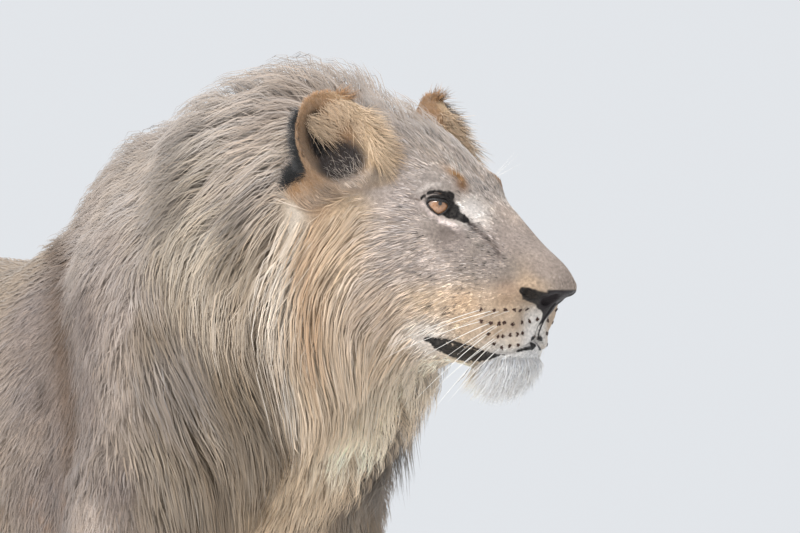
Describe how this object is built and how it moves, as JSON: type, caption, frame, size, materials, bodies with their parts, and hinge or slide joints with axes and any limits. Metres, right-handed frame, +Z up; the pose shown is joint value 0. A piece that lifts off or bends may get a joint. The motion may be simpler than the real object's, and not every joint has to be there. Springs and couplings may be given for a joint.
{
  "type": "standing lion figure",
  "caption": "Life-size museum-type model of a young male lion standing square on its paws, head turned a little to its left, with a pale half-grown mane.",
  "frame": {"origin": "middle of the bounding box, at the level of the soles", "axes": "+X along the trunk towards the head, +Y the lion's left, +Z up"},
  "size_m": [1.7996, 0.4388, 1.1975],
  "materials": {
    "coat": "short greyish tan fur",
    "mane": "long ash blond hair with darker roots",
    "chin_fur": "short white fur",
    "ear_fur": "ochre fur, black behind",
    "tuft_fur": "dark brown long hair",
    "nose_leather": "moist black skin",
    "claw": "smooth horn",
    "eye": "wet amber brown"
  },
  "bodies": {
    "root": {"chest": "coat", "ear_left": "ear_fur", "ear_right": "ear_fur", "eye_left": "eye", "eye_right": "eye", "fore_left_claw_1": "claw", "fore_left_claw_2": "claw", "fore_left_claw_3": "claw", "fore_left_claw_4": "claw", "fore_left_foot": "coat", "fore_left_paw": "coat", "fore_left_shank": "coat", "fore_right_claw_1": "claw", "fore_right_claw_2": "claw", "fore_right_claw_3": "claw", "fore_right_claw_4": "claw", "fore_right_foot": "coat", "fore_right_paw": "coat", "fore_right_shank": "coat", "head": "coat", "hind_left_claw_1": "claw", "hind_left_claw_2": "claw", "hind_left_claw_3": "claw", "hind_left_claw_4": "claw", "hind_left_foot": "coat", "hind_left_paw": "coat", "hind_left_shank": "coat", "hind_right_claw_1": "claw", "hind_right_claw_2": "claw", "hind_right_claw_3": "claw", "hind_right_claw_4": "claw", "hind_right_foot": "coat", "hind_right_paw": "coat", "hind_right_shank": "coat", "jaw": "chin_fur", "loin": "coat", "neck": "mane", "nose": "nose_leather", "rump": "coat", "tail": "coat", "tail_tuft": "tuft_fur"}
  },
  "joints": []
}
